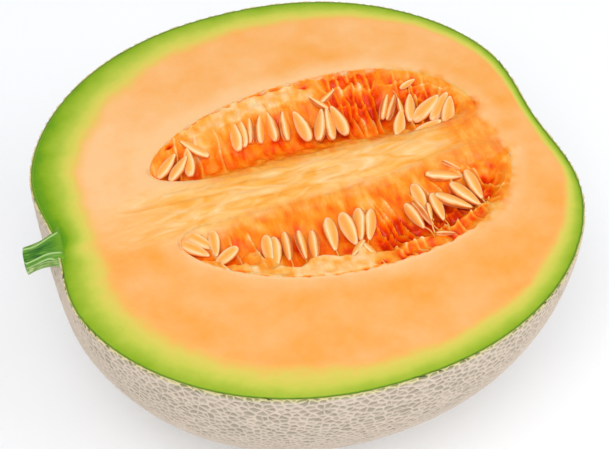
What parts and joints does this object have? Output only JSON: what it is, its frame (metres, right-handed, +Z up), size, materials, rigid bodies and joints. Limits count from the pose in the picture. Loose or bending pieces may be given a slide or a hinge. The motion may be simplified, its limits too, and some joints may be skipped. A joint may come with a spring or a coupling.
{
  "type": "netted melon half",
  "caption": "Half of a netted orange-fleshed melon, cut from stem to blossom end, lying on its rind with its seeds in place.",
  "frame": {"origin": "centre of the small flat spot of the rind that the half rests on", "axes": "+Z up, square to the cut face; +X along the core from the stem to the blossom end; +Y across the cut face, to the left seed lobe"},
  "size_m": [0.1667, 0.164, 0.0809],
  "materials": {
    "flesh": "wet cut orange flesh",
    "rind": "matt corky net on grey-green skin",
    "seed_pulp": "wet glossy orange pulp",
    "seed": "wet smooth cream seeds",
    "stem": "fresh green, ribbed"
  },
  "bodies": {
    "root": {"fruit_half": "flesh", "seed_lobe_left": "seed_pulp", "seed_lobe_right": "seed_pulp", "stem_stub": "stem"}
  },
  "joints": []
}
